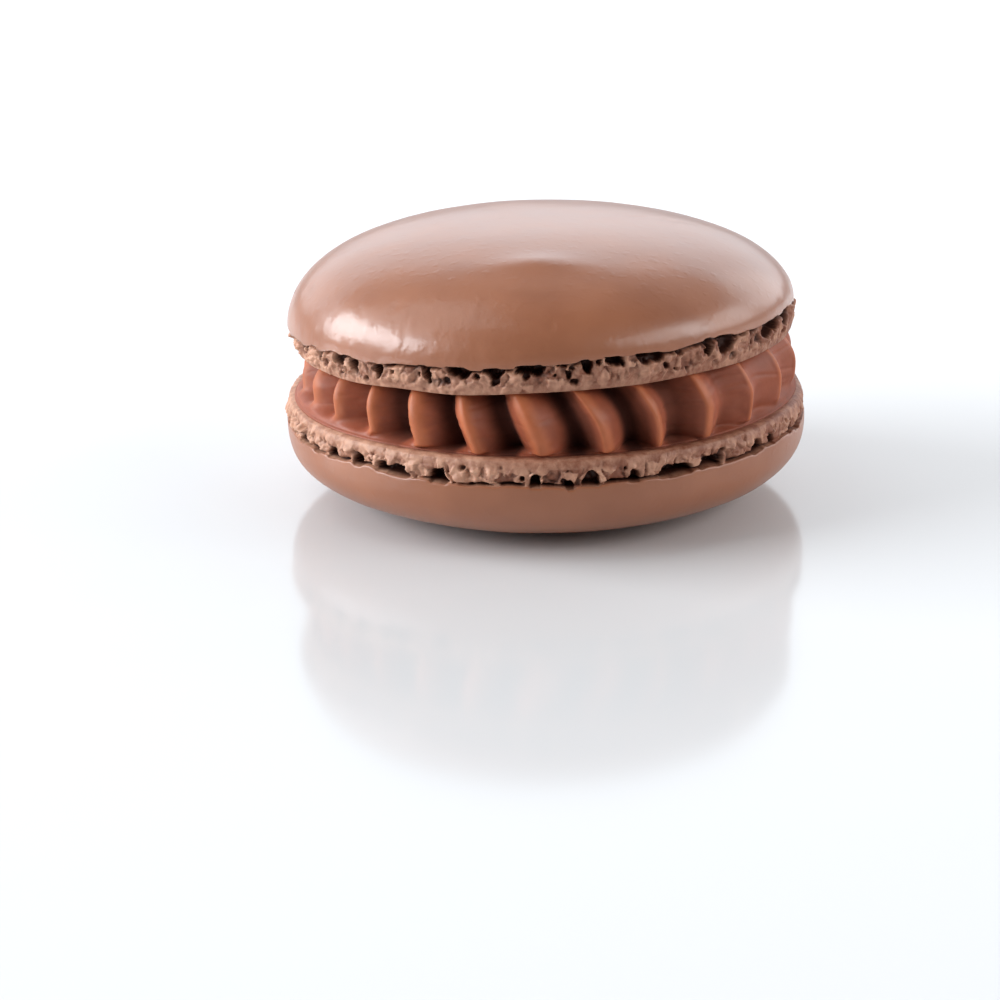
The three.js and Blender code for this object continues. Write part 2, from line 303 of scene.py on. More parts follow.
class MacaronColours(bpy.types.PropertyGroup):
    """Colours of the baked shells and the ganache, with painted shade in the holes and clefts and painted
    light on the crests.
    """
    crust_light: colour("Crust, light", "Smooth crust where it is palest", "#a26545")
    crust_dark: colour("Crust, dark", "Smooth crust where it is darkest", "#93593c")
    crumb_light: colour("Crumb, light", "Crumb of the foot where it is palest", "#cc9a7f")
    crumb_dark: colour("Crumb, dark", "Crumb of the foot where it is darkest", "#834d37")
    # Painted shade: the dark colour that the crumb is given deep inside the holes.
    hollow_shade: colour("Hollow", "Crumb deep inside the holes", "#3a180b")
    ganache: colour("Ganache", "Smooth ganache on the sides of the ridges", "#995138")
    # Painted shade: the dark colour that the ganache is given deep between the ridges.
    ganache_cleft_shade: colour("Ganache cleft", "Ganache deep between the ridges", "#3f190e")
    # Painted light: the lighter, warmer colour of the crests, a painted glow of light shining through the
    # thin ganache.
    ganache_crest_glow: colour("Ganache crest", "Thin ganache on the crests of the ridges", "#b26440")


class StudioSettings(bpy.types.PropertyGroup):
    """Camera and light."""
    distance: length("Camera distance", "From the camera to the point it looks at", 300 * MM)
    elevation: angle("Camera elevation", "Height of the camera above the horizon", 15.2)
    target_height: length("Target height", "Height of the point looked at", 14.48 * MM)
    target_pixel: bpy.props.FloatVectorProperty(
        name="Target pixel", description="Where the target lands in the image", size=2,
        default=(544.5, 336.2))
    focal_pixels: number("Focal length in pixels", "Focal length over the size of a pixel", 3147.6)
    roll: angle("Camera roll", "Turn of the camera about its line of sight", -0.81)
    floor: colour("Floor", "Pale polished floor", "#dededf")


def smoothstep(low, high, value):
    """Goes smoothly from 0 at low to 1 at high."""
    share = min(max((value - low) / (high - low), 0), 1)
    return share * share * (3 - 2 * share)


def blend(low, high, share):
    """Goes evenly from low at 0 to high at 1."""
    return low + (high - low) * share


def chance(index, seed=0):
    """A fixed random number from 0 to 1 for an index and a seed."""
    return math.sin(12.9898 * index + 78.233 * seed) * 43758.5453 % 1


def add_node(tree, kind, settings=(), links=()):
    """Adds a node, sets its properties and inputs, and links its inputs to other nodes' sockets."""
    node = tree.nodes.new(kind)
    for key, value in dict(settings).items():
        if isinstance(key, str) and hasattr(node, key):
            setattr(node, key, value)
        else:
            node.inputs[key].default_value = value
    for key, socket in dict(links).items():
        tree.links.new(socket, node.inputs[key])
    return node


def new_material(name):
    """An empty node material with its output."""
    material = bpy.data.materials.new(name)
    material.use_nodes = True
    material.node_tree.nodes.clear()
    return material, material.node_tree, material.node_tree.nodes.new("ShaderNodeOutputMaterial")


def baked_meringue_skin(colours, coat):
    """Almond meringue with cocoa, dried to a skin before baking: smooth, with a coat of set sugar."""
    material, tree, output = new_material("baked_meringue_skin")
    place = add_node(tree, "ShaderNodeTexCoord").outputs["Object"]

    # Blotches about 5 mm across, where the cocoa is mixed in less evenly.
    blotch = add_node(tree, "ShaderNodeTexNoise", {"Scale": 1 / (5 * MM), "Detail": 2, "Roughness": 0.5},
                      {"Vector": place})
    blotch_share = add_node(tree, "ShaderNodeMapRange", {"From Min": 0.2, "From Max": 0.8},
                            {"Value": blotch.outputs["Fac"]})
    base_colour = add_node(tree, "ShaderNodeMix",
                           {"data_type": "RGBA", 6: (*colours.crust_dark, 1), 7: (*colours.crust_light, 1)},
                           {0: blotch_share.outputs["Result"]})
    roughness = add_node(tree, "ShaderNodeMapRange", {"To Min": 0.4, "To Max": 0.5},
                         {"Value": blotch.outputs["Fac"]})

    # Fine orange peel of about 1.2 mm.
    peel = add_node(tree, "ShaderNodeTexNoise", {"Scale": 1 / (1.2 * MM), "Detail": 2, "Roughness": 0.5},
                    {"Vector": place})
    peel_bump = add_node(tree, "ShaderNodeBump", {"Distance": 0.012 * MM}, {"Height": peel.outputs["Fac"]})

    # Sparse flecks of almond under the skin, about 0.5 mm across.
    fleck = add_node(tree, "ShaderNodeTexNoise", {"Scale": 1 / (0.9 * MM), "Detail": 1, "Roughness": 0.5},
                     {"Vector": place})
    fleck_height = add_node(tree, "ShaderNodeMapRange", {"From Min": 0.55, "From Max": 0.8},
                            {"Value": fleck.outputs["Fac"]})
    bump = add_node(tree, "ShaderNodeBump", {"Distance": 0.014 * MM},
                    {"Height": fleck_height.outputs["Result"], "Normal": peel_bump.outputs["Normal"]})

    shader = add_node(tree, "ShaderNodeBsdfPrincipled",
                      {"IOR": 1.5, "Coat Weight": coat, "Coat Roughness": 0.22, "Coat IOR": 1.5,
                       "Subsurface Weight": 0.06, "Subsurface Scale": 0.4 * MM,
                       "Subsurface Radius": (1.0, 0.5, 0.3)},
                      {"Base Color": base_colour.outputs[2], "Roughness": roughness.outputs["Result"],
                       "Normal": bump.outputs["Normal"], "Coat Normal": bump.outputs["Normal"]})
    tree.links.new(shader.outputs["BSDF"], output.inputs["Surface"])
    return material


def open_meringue_crumb(colours):
    """The same meringue where it rose and tore below the skin: open, dry, matt and grainy with almond."""
    material, tree, output = new_material("open_meringue_crumb")
    place = add_node(tree, "ShaderNodeTexCoord").outputs["Object"]
    hollow_shade = add_node(tree, "ShaderNodeAttribute", {"attribute_name": "hollow_shade"}).outputs["Fac"]
    flake = add_node(tree, "ShaderNodeAttribute", {"attribute_name": "flake"}).outputs["Fac"]

    # Each flake of crumb browned more or less, with almond grains of about 0.4 mm in it; the flakes also
    # carry painted light, paler on the left and darker on the right.
    grain = add_node(tree, "ShaderNodeTexNoise", {"Scale": 1 / (0.8 * MM), "Detail": 3, "Roughness": 0.6},
                     {"Vector": place})
    grain_share = add_node(tree, "ShaderNodeMapRange",
                           {"From Min": 0.3, "From Max": 0.7, "To Min": -0.3, "To Max": 0.3},
                           {"Value": grain.outputs["Fac"]})
    paleness_and_lit_side = add_node(tree, "ShaderNodeMath", {"operation": "ADD", "use_clamp": True},
                        {0: grain_share.outputs["Result"], 1: flake})
    lit_crumb_colour = add_node(tree, "ShaderNodeMix",
                            {"data_type": "RGBA", 6: (*colours.crumb_dark, 1), 7: (*colours.crumb_light, 1)},
                            {0: paleness_and_lit_side.outputs["Value"]})
    # Painted shade: deep in the holes the crumb is mixed towards the hollow colour.
    base_colour = add_node(tree, "ShaderNodeMix", {"data_type": "RGBA", 7: (*colours.hollow_shade, 1)},
                           {0: hollow_shade, 6: lit_crumb_colour.outputs[2]})

    # Grit of about 0.25 mm.
    grit = add_node(tree, "ShaderNodeTexNoise", {"Scale": 1 / (0.25 * MM), "Detail": 2, "Roughness": 0.6},
                    {"Vector": place})
    bump = add_node(tree, "ShaderNodeBump", {"Distance": 0.03 * MM}, {"Height": grit.outputs["Fac"]})

    shader = add_node(tree, "ShaderNodeBsdfPrincipled",
                      {"Roughness": 0.55, "IOR": 1.45, "Specular IOR Level": 0.5, "Subsurface Weight": 0.06,
                       "Subsurface Scale": 0.4 * MM, "Subsurface Radius": (1.0, 0.5, 0.3)},
                      {"Base Color": base_colour.outputs[2], "Normal": bump.outputs["Normal"]})
    tree.links.new(shader.outputs["BSDF"], output.inputs["Surface"])
    return material


def piped_chocolate_ganache(colours):
    """Chocolate cream squeezed through a toothed nozzle: soft satin, with painted shade in the clefts and a
    painted glow of light at the thin crests."""
    material, tree, output = new_material("piped_chocolate_ganache")
    place = add_node(tree, "ShaderNodeTexCoord").outputs["Object"]
    crest_glow = add_node(tree, "ShaderNodeAttribute", {"attribute_name": "crest_glow"}).outputs["Fac"]
    cleft = add_node(tree, "ShaderNodeAttribute", {"attribute_name": "cleft"}).outputs["Fac"]

    # Clouding about 2 mm across where fat and cocoa part a little.
    cloud = add_node(tree, "ShaderNodeTexNoise", {"Scale": 1 / (2 * MM), "Detail": 3, "Roughness": 0.55},
                     {"Vector": place})
    tint = add_node(tree, "ShaderNodeMapRange",
                    {"From Min": 0.3, "From Max": 0.7, "To Min": 0.88, "To Max": 1.1},
                    {"Value": cloud.outputs["Fac"]})
    # Painted light: the crests are painted lighter and warmer, as a painted glow of light through the thin
    # ganache.
    glowing_ridge = add_node(tree, "ShaderNodeMix",
                     {"data_type": "RGBA", 6: (*colours.ganache, 1), 7: (*colours.ganache_crest_glow, 1)},
                     {0: crest_glow})
    # Painted shade: the ganache is mixed towards the cleft colour where the cleft attribute is high.
    shaded_cream = add_node(tree, "ShaderNodeMix", {"data_type": "RGBA", 7: (*colours.ganache_cleft_shade, 1)},
                     {0: cleft, 6: glowing_ridge.outputs[2]})
    base_colour = add_node(tree, "ShaderNodeMix", {"data_type": "RGBA", "blend_type": "MULTIPLY", 0: 1.0},
                           {6: shaded_cream.outputs[2], 7: tint.outputs["Result"]})
    satin = add_node(tree, "ShaderNodeMapRange", {"To Min": 0.44, "To Max": 0.58},
                     {"Value": cloud.outputs["Fac"]})
    roughness = add_node(tree, "ShaderNodeMix", {"data_type": "FLOAT", 3: 1.0},
                         {0: cleft, 2: satin.outputs["Result"]})

    # Drag marks of about 0.3 mm that the nozzle leaves along the ridges.
    drag = add_node(tree, "ShaderNodeTexNoise", {"Scale": 1 / (0.35 * MM), "Detail": 2}, {"Vector": place})
    bump = add_node(tree, "ShaderNodeBump", {"Distance": 0.015 * MM}, {"Height": drag.outputs["Fac"]})

    shader = add_node(tree, "ShaderNodeBsdfPrincipled",
                      {"IOR": 1.43, "Specular IOR Level": 0.42, "Subsurface Weight": 0.12,
                       "Subsurface Scale": 0.6 * MM, "Subsurface Radius": (1.0, 0.35, 0.15)},
                      {"Base Color": base_colour.outputs[2], "Roughness": roughness.outputs[0],
                       "Normal": bump.outputs["Normal"]})
    tree.links.new(shader.outputs["BSDF"], output.inputs["Surface"])
    return material


def polished_floor(floor_colour):
    """White acrylic sheet, cast smooth: bright, with a faint mirror image at low angles."""
    material, tree, output = new_material("white_acrylic_sheet")
    shader = add_node(tree, "ShaderNodeBsdfPrincipled",
                      {"Base Color": (*floor_colour, 1), "Roughness": 0.12, "IOR": 1.5})
    tree.links.new(shader.outputs["BSDF"], output.inputs["Surface"])
    return material


def turned(bm, rows, layers, wedges, steps):
    """Turns an outline about +Z: one wedge is spun, then repeated round the axis and merged.
    A row is (radius, height, values), and each value goes to the vertex layer in the same place."""
    outline = []
    for radius, height, values in rows:
        vertex = bm.verts.new((0, -radius, height))
        for layer, value in zip(layers, values):
            vertex[layer] = value
        outline.append(vertex)
    edges = [bm.edges.new(pair) for pair in zip(outline, outline[1:])]
    wedge = 2 * math.pi / wedges
    bmesh.ops.spin(bm, geom=outline + edges, cent=(0, 0, 0), axis=(0, 0, 1), angle=wedge, steps=steps)
    bmesh.ops.spin(bm, geom=bm.verts[:] + bm.edges[:] + bm.faces[:], cent=(0, 0, 0), axis=(0, 0, 1),
                   angle=2 * math.pi - wedge, steps=wedges - 1, use_duplicate=True)
    bmesh.ops.remove_doubles(bm, verts=bm.verts, dist=MERGE_DISTANCE)
    bmesh.ops.recalc_face_normals(bm, faces=bm.faces)


def finish_piece(bm, name, materials, node):
    """Makes a bmesh into a smooth piece that stands for a solid of the frame."""
    mesh = bpy.data.meshes.new(name)
    bm.to_mesh(mesh)
    bm.free()
    mesh.shade_smooth()
    for material in materials:
        mesh.materials.append(material)
    piece = bpy.data.objects.new(name, mesh)
    bpy.context.scene.collection.objects.link(piece)
    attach(piece, "root")
    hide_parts(node)


def shell_outline(shell):
    """Outline of a shell as baked, from the middle of its base to the top of its dome.
    Each row's values say how much of it is crust, how craggy it is, and how far up it is:
    0 at the base, 1 at the crust's rim and 2 at the crown."""
    lip_round = shell.lip_round
    rows = []
    for share in BASE_SHARES:
        rows.append((shell.lip_radius * share, 0, (0, 0, 0)))
    for k in range(LIP_ROWS):
        turn = k / (LIP_ROWS - 1) * math.pi / 2
        rows.append((shell.lip_radius - lip_round * (1 - math.sin(turn)), lip_round * (1 - math.cos(turn)),
                     (0, 0.08 + 0.06 * k, 0.05 * k)))
    for k in range(1, FOOT_ROWS + 1):
        share = k / FOOT_ROWS
        radius = shell.lip_radius + (shell.foot_radius - shell.lip_radius) * share
        radius += FOOT_BULGE * math.sin(math.pi * share)
        height = lip_round + (shell.foot_height - SEAM_SLIT - lip_round) * share
        rows.append((radius, height, (0, 0.2 + 0.8 * smoothstep(0.05, 0.35, share), 0.1 + 0.9 * share)))
    # The edge of the crust turns in above the seam.
    seam, crust = shell.foot_height, shell.crust_radius
    rows.append((crust - 0.2 * MM, seam + 0.02 * MM, (0, 0.1, 1)))
    rows.append((crust - 0.07 * MM, seam + 0.03 * MM, (0.3, 0.03, 1)))
    for k in range(DOME_ROWS + 1):
        # The rows crowd towards the rim, where the dome bends most.
        turn = (max(k, 0.3) / DOME_ROWS) ** 1.5 * math.pi / 2
        if k < DOME_ROWS:
            radius = crust * math.cos(turn) ** (2 / shell.crust_squareness)
            rise = math.sin(turn) ** (2 / shell.crown_squareness)
        else:
            radius, rise = 0, 1
        if radius < shell.flat_spot_radius:
            rise = 1
        rows.append((radius, seam + shell.crust_height * rise, (1, 0, 1 + rise)))
    return rows


def pore_at(point, spacing, smallest, largest):
    """How far inside a scattered round pore a point is, from 0 to 1.
    The pores' radii are shares of their spacing, and there is none where the radius isn't above 0."""
    _, centres = noise.voronoi(point / spacing)
    radius = blend(smallest, largest, chance(centres[0].dot(DICE))) * spacing
    if radius <= 0:
        return 0
    return 1 - smoothstep(0.6 * radius, radius, (point - centres[0] * spacing).length)


def hole_at(turn, up, crumb, seed):
    """How far inside a hole under the crust a place is, from 0 to 1, less for a shallow hole.
    up goes from 0 at the lip to 1 at the crust."""
    place = turn * crumb.holes / (2 * math.pi)
    inside = 0
    for k in range(math.floor(place) - 1, math.floor(place) + 2):
        hole = k % crumb.holes
        if chance(hole, seed) < crumb.closed_share:
            continue
        middle = k + 0.5 + 0.6 * (chance(hole, seed + 1) - 0.5)
        half_width = blend(*crumb.hole_half_width, chance(hole, seed + 2))
        height = blend(*crumb.hole_height, chance(hole, seed + 3))
        reach = math.hypot((place - middle) / half_width, (1 - up) / height)
        inside = max(inside, blend(0.5, 1, chance(hole, seed + 4)) * (1 - smoothstep(0.75, 1.0, reach)))
    return inside


def foot_relief(place, turn, up, crumb, seed, ragged):
    """How deep the foot is hollowed at a place, in metres, and how pale its flake is: holes and a seam under
    the crust, then round pores, upright creases, puffy lumps and torn flakes between them."""
    wobble = noise.noise(place / WOBBLE_SWELL)
    bent = place + Vector((wobble, -wobble, wobble)) * WOBBLE_REACH
    ragged_up = up + 0.12 * noise.noise(place / HOLE_RAG + Vector((5, 7, 9)))
    hole = hole_at(turn + 0.012 * wobble, ragged_up, crumb, seed)
    ring = Vector((place.x, place.y, 0))
    seam = smoothstep(0.84, 0.96, up) * smoothstep(-0.3, 0.05, noise.noise(ring / SEAM_PART))
    pore = pore_at(bent, crumb.pore_spacing, -0.1, 0.44)
    upright = Vector((bent.x, bent.y, 0.3 * bent.z))
    crease = 1 - smoothstep(0.02, 0.16, abs(noise.noise(upright / crumb.pleat_width)))
    crease *= smoothstep(-0.1, 0.25, noise.noise(ring / CREASED_PART))
    puff = abs(noise.noise(bent / crumb.lump_size)) + 0.5 * abs(noise.noise(place / (0.45 * crumb.lump_size)))
    shallow = max(crumb.seam_depth * seam, crumb.pore_depth * pore, crumb.pleat_depth * crease)
    _, centres = noise.voronoi(bent / crumb.flake_size)
    flake = chance(centres[0].dot(DICE))
    depth = blend(shallow, crumb.hole_depth, hole) + crumb.lump_height * ragged * (0.5 - 1.6 * puff)
    return depth + crumb.flake_depth * ragged * (0.5 - flake), flake


def bake_shell(bm, shell, crumb, layers):
    """Moves a turned shell's vertices as baking did: holes, pores, creases and flakes in the foot,
    a torn rim, waves, dimples, blisters and a fold in the dome, and the slant of a foot that rose more
    on one side."""
    crust_layer, crag_layer, rise_layer, hollow_shade_layer, flake_tone_and_lit_side_layer = layers
    # Each shell reads its unevenness at a place of its own.
    shift = Vector((shell.seed, -shell.seed, 2 * shell.seed)) * 10 * MM
    rim_slope = Vector((math.tan(shell.rim_rise[0]), -math.tan(shell.rim_rise[1]), 0))
    crown_slope = Vector((math.tan(shell.crown_rise[0]), -math.tan(shell.crown_rise[1]), 0))

    for vertex in bm.verts:
        place = vertex.co + shift
        outward = Vector((vertex.co.x, vertex.co.y, 0)).normalized()
        crust, crag, rise = vertex[crust_layer], vertex[crag_layer], vertex[rise_layer]
        ring = Vector((place.x, place.y, shift.z))
        slope = rim_slope * rise if rise <= 1 else rim_slope.lerp(crown_slope, rise - 1)
        lift = vertex.co.dot(slope)
        turn = math.atan2(vertex.co.x, -vertex.co.y)
        if crag > 0:
            ragged = 1 - 0.35 * outward.x + 0.5 * noise.noise(ring / RAGGED_SWELL)
            depth, flake = foot_relief(place, turn, min(rise, 1), crumb, shell.seed, ragged)
            # Painted light: the flakes' own tone, made paler on the left and darker on the right as if lit
            # from the left.
            vertex[flake_tone_and_lit_side_layer] = blend(0.38, flake, 0.25 + 0.5 * crag) - 0.28 * outward.x
            vertex.co -= outward * crag * depth
            # Painted shade: the deeper the crumb lies in a hole, the darker it is painted.
            vertex[hollow_shade_layer] = smoothstep(*HOLLOW_SHADE_DEPTHS, crag * depth)
            lift += crumb.lip_wave * noise.noise(ring / LIP_SWELL) * (1 - min(rise, 1))
        near_rim = rise if rise <= 1 else max(0, 1 - (rise - 1) * shell.crust_height / RIM_REACH)
        if near_rim > 0:
            wave = noise.noise(ring / RIM_SWELL) + 0.6 * noise.noise(ring / RIM_TOOTH)
            lift += near_rim * crumb.rim_wave * wave
            if rise >= 1 and crag < 0.2:
                lift += near_rim * crumb.rim_tear * hole_at(turn, 1, crumb, shell.seed)
        if crust == 1 and not (shell.flat_spot_radius and rise > 1.9):
            wave = noise.noise(place / DOME_SWELL) + 0.25 * noise.noise(place / DOME_DENT)
            swell = crumb.dome_wave * wave * (1 - near_rim)
            dimple = pore_at(place, crumb.dimple_spacing, -0.15, 0.22)
            far = math.hypot(vertex.co.x - shell.blister_place[0], vertex.co.y - shell.blister_place[1])
            blister = smoothstep(0.1, 0.6, noise.noise(place / crumb.blister_size))
            blister *= 1 - smoothstep(0.6, 1, far / shell.blister_reach)
            blister *= 1 - smoothstep(0.4, 0.75, rise - 1)
            vertex.co += vertex.normal * (swell - crumb.dimple_depth * dimple)
            vertex.co += vertex.normal * shell.blister_height * blister
            away = math.hypot((vertex.co.x - shell.fold_place[0]) / shell.fold_size[0],
                              (vertex.co.y - shell.fold_place[1]) / shell.fold_size[1])
            lift += shell.fold_height * math.exp(-away * away)
        vertex.co.z += lift
        if rise >= 1 and crag < 0.5:
            vertex.co.x += shell.crust_shift


def add_shell(name, shell, context, placing):
    """Turns a shell, cuts its foot finer, bakes it and puts it in its place."""
    bm = bmesh.new()
    layers = [bm.verts.layers.float.new(word) for word in ("crust", "crag", "rise", "hollow_shade", "flake")]
    turned(bm, shell_outline(shell), layers[:3], SHELL_WEDGES, SHELL_STEPS_PER_WEDGE)
    foot_edges = [edge for edge in bm.edges if all(vertex[layers[1]] > 0 for vertex in edge.verts)]
    bmesh.ops.subdivide_edges(bm, edges=foot_edges, cuts=FOOT_CUTS, use_grid_fill=True)
    bmesh.ops.recalc_face_normals(bm, faces=bm.faces)
    bm.normal_update()
    bake_shell(bm, shell, context.scene.macaron_crumb, layers)
    for face in bm.faces:
        crust_share = sum(vertex[layers[0]] for vertex in face.verts) / len(face.verts)
        face.material_index = 0 if crust_share > 0.5 else 1
    bmesh.ops.transform(bm, matrix=placing, verts=bm.verts)
    colours = context.scene.macaron_colours
    materials = [baked_meringue_skin(colours, shell.coat), open_meringue_crumb(colours)]
    finish_piece(bm, name, materials, name.removeprefix("baked_"))


def top_base(shell):
    """Where the top shell's base is: raised by the gap and tilted."""
    right, front = shell.base_rise
    tilt = Euler((-front, -right, 0), "XYZ").to_matrix().to_4x4()
    return Matrix.Translation((0, 0, BOTTOM_SHELL_TOP + shell.gap)) @ tilt


class MACARON_OT_top_shell(bpy.types.Operator):
    """Add the top shell, dome up and a little askew"""
    bl_idname = "macaron.top_shell"
    bl_label = "Add Top Shell"

    def execute(self, context):
        shell = context.scene.macaron_top_shell
        add_shell("baked_top_shell", shell, context, top_base(shell))
        return {"FINISHED"}


class MACARON_OT_bottom_shell(bpy.types.Operator):
    """Add the bottom shell, turned over so that it rests on its crown"""
    bl_idname = "macaron.bottom_shell"
    bl_label = "Add Bottom Shell"

    def execute(self, context):
        turned_over = Matrix.Translation((0, 0, BOTTOM_SHELL_TOP)) @ Matrix.Rotation(math.pi, 4, "X")
        add_shell("baked_bottom_shell", context.scene.macaron_bottom_shell, context, turned_over)
        return {"FINISHED"}


def rounded(value, width):
    """Leaves 0 and 1 where they are, and rounds the sharp turn at 0."""
    return (math.hypot(value, width) - width) / (math.hypot(1, width) - width)


def valley_at(across, cleft, hollowness, crest_width, cleft_width):
    """How deep the filling's side is between two ridges, from 0 at a ridge to 1 in the cleft.
    across goes from 0 at one ridge to 1 at the next, and cleft is where the cleft lies on that way.
    hollowness is that of the long side before the cleft and of the short side after it."""
    if across < cleft:
        height = (1 - across / cleft) ** hollowness[0]
    else:
        height = ((across - cleft) / (1 - cleft)) ** hollowness[1]
    return rounded(1 - rounded(height, cleft_width), crest_width)


def filling_outline(sizes, skirt_share):
    """Outline of the filling, drawn 1 mm high, from the middle of its base to the middle of its top.
    Each row's values say how far up it is, from 0 to 1, and whether it has ridges."""
    rows = [(0, 0, (0, 0)), (0.5 * sizes.radius, 0, (0, 0)), (0.9 * sizes.radius, 0, (0, 0))]
    for k in range(SKIRT_ROWS):
        turn = k / (SKIRT_ROWS - 1) * math.pi / 2
        share = skirt_share * math.sin(turn)
        rows.append((sizes.radius - sizes.skirt_height * (1 - math.cos(turn)), share * MM, (share, 0)))
    for k in range(FILLING_ROWS + 1):
        share = blend(skirt_share, 1, (k + 1) / (FILLING_ROWS + 1))
        bow = sizes.bow_above if share > 0.5 else sizes.bow_below
        rows.append((sizes.radius - bow * (2 * share - 1) ** 2, share * MM, (share, 1)))
    return rows + [(0.5 * sizes.radius, MM, (1, 0)), (0, MM, (1, 0))]


def pipe_filling(bm, sizes, layers, top):
    """Moves a turned filling's vertices as piping did: ridges that lean and curve, clefts between them,
    and a skirt and a ledge below, all fitted between the bases of the two shells."""
    share_layer, fluted_layer, crest_glow_layer, cleft_shade_layer = layers
    up = top.to_3x3() @ Vector((0, 0, 1))
    pitch = 2 * math.pi / sizes.flutes

    for vertex in bm.verts:
        share, fluted = vertex[share_layer], vertex[fluted_layer]
        turn = math.atan2(vertex.co.x, -vertex.co.y)
        flute = math.floor(turn / pitch + 1e-6)
        place = turn / pitch - flute
        # The steps crowd towards the crests, which are the sharpest.
        across = place - 0.1 * math.sin(2 * math.pi * place)
        turn += (across - place) * pitch
        rightward = math.sin(turn)
        side = abs(rightward) ** 3
        right = smoothstep(*RIGHT_SIDE, rightward)
        far_left = smoothstep(*FAR_LEFT_SIDE, -rightward)
        left = smoothstep(*LEFT_SIDE, -rightward) * (1 - far_left)
        middle = 1 - (2 * share - 1) ** 2

        long_side = sizes.hollowness + sizes.hollowness_change * math.sin(2.4 * (flute % sizes.flutes))
        rounded_out = smoothstep(*ROUNDED_SIDE, -rightward)
        short_side = blend(sizes.short_hollowness, sizes.left_hollowness, rounded_out)
        crest_width = sizes.crest_width * (1 - 0.7 * right)
        cleft_place = blend(*sizes.flute_cleft, 1 - right)
        valley = valley_at(across, cleft_place, (long_side, short_side), crest_width, sizes.cleft_width)
        # The short sides at the front right lie in the shade of their own ridges, which is painted on them as
        # shade.
        lit = smoothstep(*LIT_SIDE, -rightward) if across > cleft_place else 1

        radius = math.hypot(vertex.co.x, vertex.co.y)
        skirt_radius = blend(*sizes.skirt_radius, side)
        fillet = 1
        if not fluted and share < 0.5:
            radius *= skirt_radius / sizes.radius
        if fluted:
            uneven = noise.noise(vertex.co / FILLING_SWELL)
            ripple = noise.noise(Vector((turn * 5, share * 4, 3.3)))
            crease = 1 - smoothstep(0, 0.12, abs(noise.noise(Vector((turn * 3, share * 3.5, 8.1)))))
            depth = sizes.flute_depth * (1 - sizes.flat_share * right) * (1 - sizes.pillow * middle)
            radius += sizes.stretch * math.cos(turn) ** 2 + FILLING_SWELL_HEIGHT * uneven - depth * valley
            radius += sizes.flare * max(0, 1 - 2 * share) ** 2 * smoothstep(*FLARED_SIDE, -rightward)
            radius += (0.2 * ripple - 0.1 * crease) * MM * smoothstep(0.03, 0.2, valley)
            ledge = blend(*sizes.ledge, side)
            fillet = 1 - smoothstep(0.4 * ledge, 1.4 * ledge, share)
            ledge_radius = skirt_radius - sizes.skirt_height - sizes.ledge_slope * share
            radius = blend(radius, max(radius, ledge_radius), fillet)
            # Painted light on the crests, narrower on the short sides that lie in shade.
            crest_reach = blend(0.12, 0.3, lit)
            vertex[crest_glow_layer] = (1 - smoothstep(0, crest_reach, valley)) * (1 - fillet)

        # Painted shade: the clefts are painted darker from some way down their sides, sooner at the top and
        # bottom, where the shells shade them.
        if across > cleft_place:
            shade_start = blend(0.03, 0.55, lit)
            shade_end = shade_start + 0.45
        else:
            near_shell = max(1 - smoothstep(0.05, 0.4, share), smoothstep(0.6, 1, share))
            shade_start = 0.5 - 0.3 * left - 0.2 * near_shell
            shade_end = 0.9 - 0.1 * left
        shade = smoothstep(shade_start, shade_end, valley) * (1 - fillet * min(1, 1.4 * side))
        shade *= 1 - 0.4 * (1 - lit) * (1 - smoothstep(0.6, 1, valley))
        shade *= (1 - 0.9 * right) * (1 - 0.75 * far_left)
        # The ledge on the right is painted darker too, as painted shade.
        vertex[cleft_shade_layer] = max(shade, 0.3 * fillet * right)

        lean = (sizes.lean + sizes.lean_change * math.cos(3 * turn)) * (0.5 - share)
        if share < 0.5:
            lean *= 1 - smoothstep(*LOWER_LEAN_ENDS, rightward)
        sway = smoothstep(*SWAY_STARTS, rightward) * (1 - smoothstep(*SWAY_ENDS, rightward))
        sway *= max(0, math.cos(turn)) * middle
        turn += sizes.start - sizes.crowding * math.cos(turn) + lean + sizes.sway * sway
        vertex.co.x = sizes.offset[0] * (1 - fillet) + radius * math.sin(turn)
        vertex.co.y = sizes.offset[1] * (1 - fillet) - radius * math.cos(turn)
        flat = Vector((vertex.co.x, vertex.co.y, 0)) - top.translation
        ceiling = -(flat.x * up.x + flat.y * up.y) / up.z + top.translation.z + SINK
        vertex.co.z = blend(BOTTOM_SHELL_TOP - SINK, ceiling, share)


class MACARON_OT_filling(bpy.types.Operator):
    """Add the piped ganache between the shells"""
    bl_idname = "macaron.filling"
    bl_label = "Add Filling"

    def execute(self, context):
        sizes = context.scene.macaron_filling
        top_shell = context.scene.macaron_top_shell
        bm = bmesh.new()
        layers = [bm.verts.layers.float.new(word) for word in ("share", "fluted", "crest_glow", "cleft")]
        rows = filling_outline(sizes, sizes.skirt_height / top_shell.gap)
        turned(bm, rows, layers[:2], sizes.flutes, FLUTE_STEPS)
        pipe_filling(bm, sizes, layers, top_base(top_shell))
        bmesh.ops.recalc_face_normals(bm, faces=bm.faces)
        material = piped_chocolate_ganache(context.scene.macaron_colours)
        finish_piece(bm, "piped_filling", [material], "filling")
        return {"FINISHED"}


def add_softbox(name, place, size, radiance, tint):
    """Adds a rectangular soft light of even radiance that the camera doesn't see."""
    light = bpy.data.lights.new(name, "AREA")
    light.shape = "RECTANGLE"
    light.size, light.size_y = size
    light.energy = 4 * size[0] * size[1] * radiance
    light.color = linear(tint)
    softbox = bpy.data.objects.new(name, light)
    softbox.location = place
    softbox.rotation_euler = (Vector(HEART) - Vector(place)).to_track_quat("-Z", "Y").to_euler()
    softbox.visible_camera = False
    bpy.context.scene.collection.objects.link(softbox)


